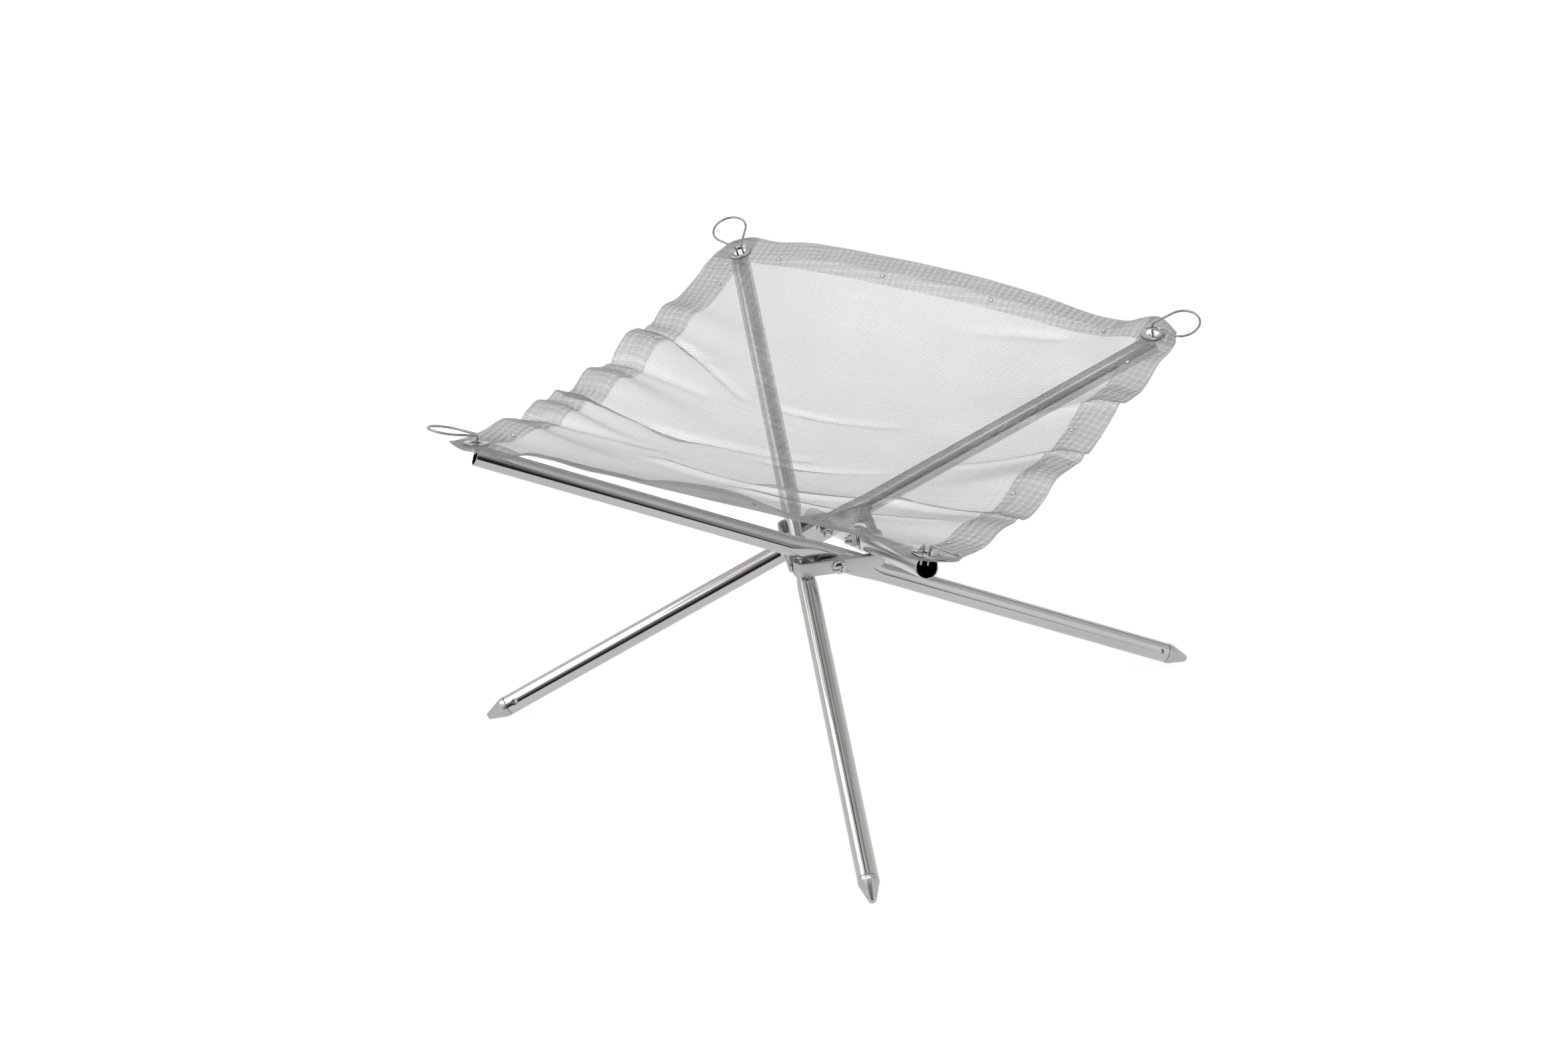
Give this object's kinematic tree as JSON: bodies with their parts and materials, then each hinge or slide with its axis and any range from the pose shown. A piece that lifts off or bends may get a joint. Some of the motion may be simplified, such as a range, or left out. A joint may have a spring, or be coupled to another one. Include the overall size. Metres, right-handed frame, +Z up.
{
  "type": "folding fire stand",
  "caption": "Folding camp fire stand: crossed tube legs on a pinwheel hub hold a sagging square of fine steel mesh by its corner eyelets, with wire ring clips.",
  "frame": {"origin": "on the ground, under the middle of the hub", "axes": "+Z up; the legs' upper ends stand at -X (left), -Y (front), +X (right) and +Y (back)"},
  "size_m": [0.6009, 0.6026, 0.2941],
  "materials": {
    "tube_steel": "polished stainless tube",
    "cap_steel": "satin turned foot cap",
    "bracket_steel": "satin flat bar",
    "hardware": "bright plated fasteners",
    "eyelet_steel": "bright rolled eyelet",
    "clip_wire": "bright spring wire",
    "wire_cloth": "fine woven steel wire cloth, with a double hem"
  },
  "bodies": {
    "hub": {"hub_bracket_left": "bracket_steel", "hub_bracket_front": "bracket_steel", "hub_bracket_right": "bracket_steel", "hub_bracket_back": "bracket_steel", "pivot_screw_left": "hardware", "pivot_screw_front": "hardware", "pivot_screw_right": "hardware", "pivot_screw_back": "hardware", "spacer_washer_left": "hardware", "spacer_washer_front": "hardware", "spacer_washer_right": "hardware", "spacer_washer_back": "hardware", "nut_washer_left": "hardware", "nut_washer_front": "hardware", "nut_washer_right": "hardware", "nut_washer_back": "hardware", "lock_nut_left": "hardware", "lock_nut_front": "hardware", "lock_nut_right": "hardware", "lock_nut_back": "hardware"},
    "leg_left": {"leg_tube_left": "tube_steel", "foot_cap_left": "cap_steel"},
    "leg_front": {"leg_tube_front": "tube_steel", "foot_cap_front": "cap_steel"},
    "leg_right": {"leg_tube_right": "tube_steel", "foot_cap_right": "cap_steel"},
    "leg_back": {"leg_tube_back": "tube_steel", "foot_cap_back": "cap_steel"},
    "fire_sheet": {"mesh_sheet": "wire_cloth", "eyelet_left": "eyelet_steel", "eyelet_front": "eyelet_steel", "eyelet_right": "eyelet_steel", "eyelet_back": "eyelet_steel"},
    "clip_left": {"ring_clip_left": "clip_wire"},
    "clip_front": {"ring_clip_front": "clip_wire"},
    "clip_right": {"ring_clip_right": "clip_wire"},
    "clip_back": {"ring_clip_back": "clip_wire"}
  },
  "joints": [
    {"name": "leg_fold_left", "type": "hinge", "parent": "hub", "child": "leg_left", "pos_m": [-0.00234, -0.02494, 0.1377], "axis": [0.0935, 0.9956, 0], "range_deg": [0, 64.36]},
    {"name": "leg_fold_front", "type": "hinge", "parent": "hub", "child": "leg_front", "pos_m": [0.02494, -0.00234, 0.1377], "axis": [-0.9956, 0.0935, 0], "range_deg": [0, 64.36]},
    {"name": "leg_fold_right", "type": "hinge", "parent": "hub", "child": "leg_right", "pos_m": [0.00234, 0.02494, 0.1377], "axis": [-0.0935, -0.9956, 0], "range_deg": [0, 64.36]},
    {"name": "leg_fold_back", "type": "hinge", "parent": "hub", "child": "leg_back", "pos_m": [-0.02494, 0.00234, 0.1377], "axis": [0.9956, -0.0935, 0], "range_deg": [0, 64.36]},
    {"name": "sheet_lift_off", "type": "slide", "parent": "hub", "child": "fire_sheet", "axis": [0, 0, 1], "range_m": [0, 0.45]},
    {"name": "clip_swing_left", "type": "hinge", "parent": "fire_sheet", "child": "clip_left", "pos_m": [-0.26631, -0.00016, 0.27476], "axis": [0.0895, 0.9537, -0.287], "range_deg": [-8, 54]},
    {"name": "clip_swing_front", "type": "hinge", "parent": "fire_sheet", "child": "clip_front", "pos_m": [0.00016, -0.26631, 0.27476], "axis": [-0.9618, 0.0042, 0.2738], "range_deg": [-3, 59]},
    {"name": "clip_swing_right", "type": "hinge", "parent": "fire_sheet", "child": "clip_right", "pos_m": [0.26631, 0.00016, 0.27476], "axis": [-0.3411, -0.8876, -0.3096], "range_deg": [-4, 58]},
    {"name": "clip_swing_back", "type": "hinge", "parent": "fire_sheet", "child": "clip_back", "pos_m": [-0.00016, 0.26631, 0.27476], "axis": [0.9618, -0.0042, 0.2738], "range_deg": [-8, 54]}
  ],
  "couplings": [
    {"joint": "leg_fold_front", "follows": "leg_fold_left", "ratio": 1},
    {"joint": "leg_fold_right", "follows": "leg_fold_left", "ratio": 1},
    {"joint": "leg_fold_back", "follows": "leg_fold_left", "ratio": 1},
    {"joint": "sheet_lift_off", "follows": "leg_fold_left", "m_per_rad": 0.4}
  ]
}
